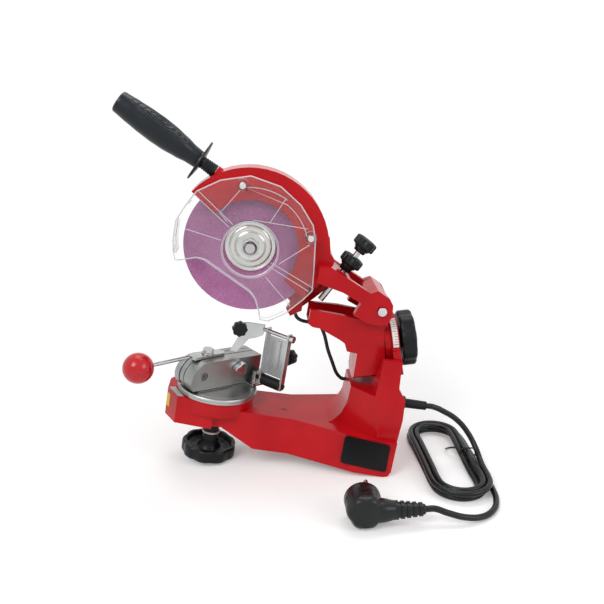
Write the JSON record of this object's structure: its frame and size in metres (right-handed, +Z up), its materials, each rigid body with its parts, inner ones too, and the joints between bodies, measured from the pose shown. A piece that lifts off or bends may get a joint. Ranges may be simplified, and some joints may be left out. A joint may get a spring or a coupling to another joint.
{
  "type": "electric chainsaw sharpener",
  "caption": "Bench grinder for saw chain: tilting, hinged grinding head with motor and clear guard over a swivelling chain vice with lever, chain stop and mains lead.",
  "frame": {"origin": "on the bench, under the middle of the machine without its mains lead", "axes": "+Z up from the bench, +X towards the rear hinge and mains lead, +Y towards the motor side"},
  "size_m": [0.4016, 0.2746, 0.4177],
  "materials": {
    "red_casting": "gloss red powder coat over sand-cast aluminium, slightly orange-peeled",
    "black_plastic": "moulded black plastic, satin",
    "white_nylon": "white nylon",
    "zinc": "bright zinc-plated steel",
    "steel": "ground steel",
    "cast_aluminium": "milled cast aluminium",
    "abrasive": "mauve vitrified abrasive with pale grains",
    "clear_guard": "clear moulded polycarbonate",
    "cord_rubber": "black rubber cord sheath",
    "red_plastic": "glossy red plastic",
    "copper": "enamelled copper winding",
    "rotor_steel": "laminated rotor steel",
    "grip_rubber": "ribbed black grip",
    "pin_brass": "nickel-plated brass pins"
  },
  "bodies": {
    "base": {"base_casting": "red_casting", "side_plate": "black_plastic", "lock_spacer": "white_nylon", "cord_gland": "black_plastic", "cord_lead": "cord_rubber", "cord_hank": "cord_rubber", "cord_tail": "cord_rubber", "plug_body": "black_plastic", "plug_pin_a": "pin_brass", "plug_pin_b": "pin_brass", "motor_cable_lower": "cord_rubber"},
    "stand_knob": {"lock_knob": "black_plastic", "lock_stud": "zinc"},
    "table": {"turntable": "cast_aluminium", "vice_plate": "zinc", "jaw_fixed": "cast_aluminium", "jaw_backing": "cast_aluminium", "stop_ear": "zinc", "stop_barrel": "black_plastic"},
    "clamp_jaw": {"jaw_moving": "cast_aluminium", "jaw_pivot_screw": "steel"},
    "jaw_thumb_screw": {"jaw_screw": "zinc"},
    "lever": {"cam_plate": "zinc", "cam_bolt": "zinc", "clamp_lever": "zinc", "lever_ball": "red_plastic"},
    "chain_stop": {"stop_bracket": "zinc", "stop_axle": "steel"},
    "stop_thumb_knob": {"stop_knob": "black_plastic"},
    "pawl": {"stop_pawl": "zinc"},
    "pawl_thumb_knob": {"pawl_knob": "black_plastic"},
    "bracket": {"tilt_bracket": "red_casting", "tilt_bolt": "zinc", "cable_clip": "black_plastic"},
    "tilt_hand_knob": {"tilt_knob": "black_plastic"},
    "head": {"wheel_housing": "red_casting", "guard": "clear_guard", "guard_screw_a": "steel", "guard_screw_b": "steel", "motor_shell": "red_casting", "motor_cap": "black_plastic", "bearing_front": "steel", "bearing_rear": "steel", "motor_stator": "copper", "switch_box": "black_plastic", "handle_grip": "grip_rubber", "handle_stud": "zinc", "hinge_pin": "steel", "return_spring": "steel", "motor_cable_upper": "cord_rubber"},
    "rotor": {"spindle": "steel", "grinding_wheel": "abrasive", "flange_outer": "cast_aluminium", "flange_inner": "cast_aluminium", "wheel_nut": "zinc", "motor_rotor": "rotor_steel"},
    "rocker": {"switch_rocker": "red_plastic"},
    "depth_stop": {"depth_screw": "zinc"},
    "depth_turn_knob": {"depth_knob": "black_plastic"},
    "depth_jam_knob": {"depth_lock_knob": "black_plastic"}
  },
  "joints": [
    {"name": "stand_knob_turn", "type": "hinge", "parent": "base", "child": "stand_knob", "pos_m": [-0.08122, -0.0148, 0.03262], "axis": [-0.1639, 0, -0.9865], "range_deg": [0, 180]},
    {"name": "table_swivel", "type": "hinge", "parent": "base", "child": "table", "pos_m": [-0.08122, -0.0148, 0.03262], "axis": [-0.1639, 0, -0.9865], "range_deg": [-95, 5]},
    {"name": "jaw_slide", "type": "slide", "parent": "table", "child": "clamp_jaw", "axis": [0.6208, -0.7771, -0.1032], "range_m": [-0.0001, 0.0011]},
    {"name": "lever_swing", "type": "hinge", "parent": "table", "child": "lever", "pos_m": [-0.08072, -0.02099, 0.13067], "axis": [0.1639, 0, 0.9865], "range_deg": [0, 45]},
    {"name": "jaw_screw_turn", "type": "hinge", "parent": "clamp_jaw", "child": "jaw_thumb_screw", "pos_m": [-0.0468, -0.01331, 0.11215], "axis": [0.6208, -0.7771, -0.1032], "range_deg": [0, 180]},
    {"name": "chain_stop_tip", "type": "hinge", "parent": "table", "child": "chain_stop", "pos_m": [-0.00885, -0.01485, 0.09257], "axis": [0.8081, -0.5736, -0.1343], "range_deg": [-20, 0]},
    {"name": "stop_knob_turn", "type": "hinge", "parent": "chain_stop", "child": "stop_thumb_knob", "pos_m": [0.00342, -0.0153, 0.11993], "axis": [0.5658, 0.8192, -0.094], "range_deg": [0, 180]},
    {"name": "pawl_lift", "type": "hinge", "parent": "chain_stop", "child": "pawl", "pos_m": [0.00091, -0.01485, 0.15126], "axis": [0.8081, -0.5736, -0.1343], "range_deg": [-25, 0]},
    {"name": "pawl_knob_turn", "type": "hinge", "parent": "pawl", "child": "pawl_thumb_knob", "pos_m": [-0.0446, -0.00732, 0.15832], "axis": [0.1373, -0.9903, -0.0228], "range_deg": [0, 180]},
    {"name": "head_tilt", "type": "hinge", "parent": "base", "child": "bracket", "pos_m": [0.12668, -0.0148, 0.14354], "axis": [0.9953, 0, 0.097], "range_deg": [-35, 35], "deforming": ["motor_cable_lower"]},
    {"name": "tilt_knob_turn", "type": "hinge", "parent": "bracket", "child": "tilt_hand_knob", "pos_m": [0.12668, -0.0148, 0.14354], "axis": [0.9953, 0, 0.097], "range_deg": [0, 180]},
    {"name": "head_lower", "type": "hinge", "parent": "bracket", "child": "head", "pos_m": [0.11286, -0.0148, 0.18791], "axis": [0, -1, 0], "range_deg": [0, 17], "stiffness_Nm_per_rad": 6, "springref_deg": -54.43, "deforming": ["return_spring", "motor_cable_upper"]},
    {"name": "wheel_spin", "type": "hinge", "parent": "head", "child": "rotor", "pos_m": [-0.0297, -0.0148, 0.25722], "axis": [0, 1, 0], "continuous": true},
    {"name": "switch_rock", "type": "hinge", "parent": "head", "child": "rocker", "pos_m": [0.02887, 0.0425, 0.26015], "axis": [-0.9865, 0, 0.1639], "range_deg": [0, 12]},
    {"name": "depth_knob_turn", "type": "hinge", "parent": "depth_stop", "child": "depth_turn_knob", "pos_m": [0.04776, -0.0148, 0.19264], "axis": [0.612, 0, 0.7909], "range_deg": [-1080, 1080]},
    {"name": "depth_travel", "type": "slide", "parent": "head", "child": "depth_stop", "axis": [0.612, 0, 0.7909], "range_m": [-0.00375, 0.00375]},
    {"name": "jam_knob_turn", "type": "hinge", "parent": "head", "child": "depth_jam_knob", "pos_m": [0.04776, -0.0148, 0.19264], "axis": [0.612, 0, 0.7909], "range_deg": [0, 180]}
  ],
  "couplings": [
    {"joint": "jaw_slide", "follows": "lever_swing", "m_per_rad": 0.00127},
    {"joint": "depth_knob_turn", "follows": "depth_travel", "rad_per_m": 5026.5}
  ]
}
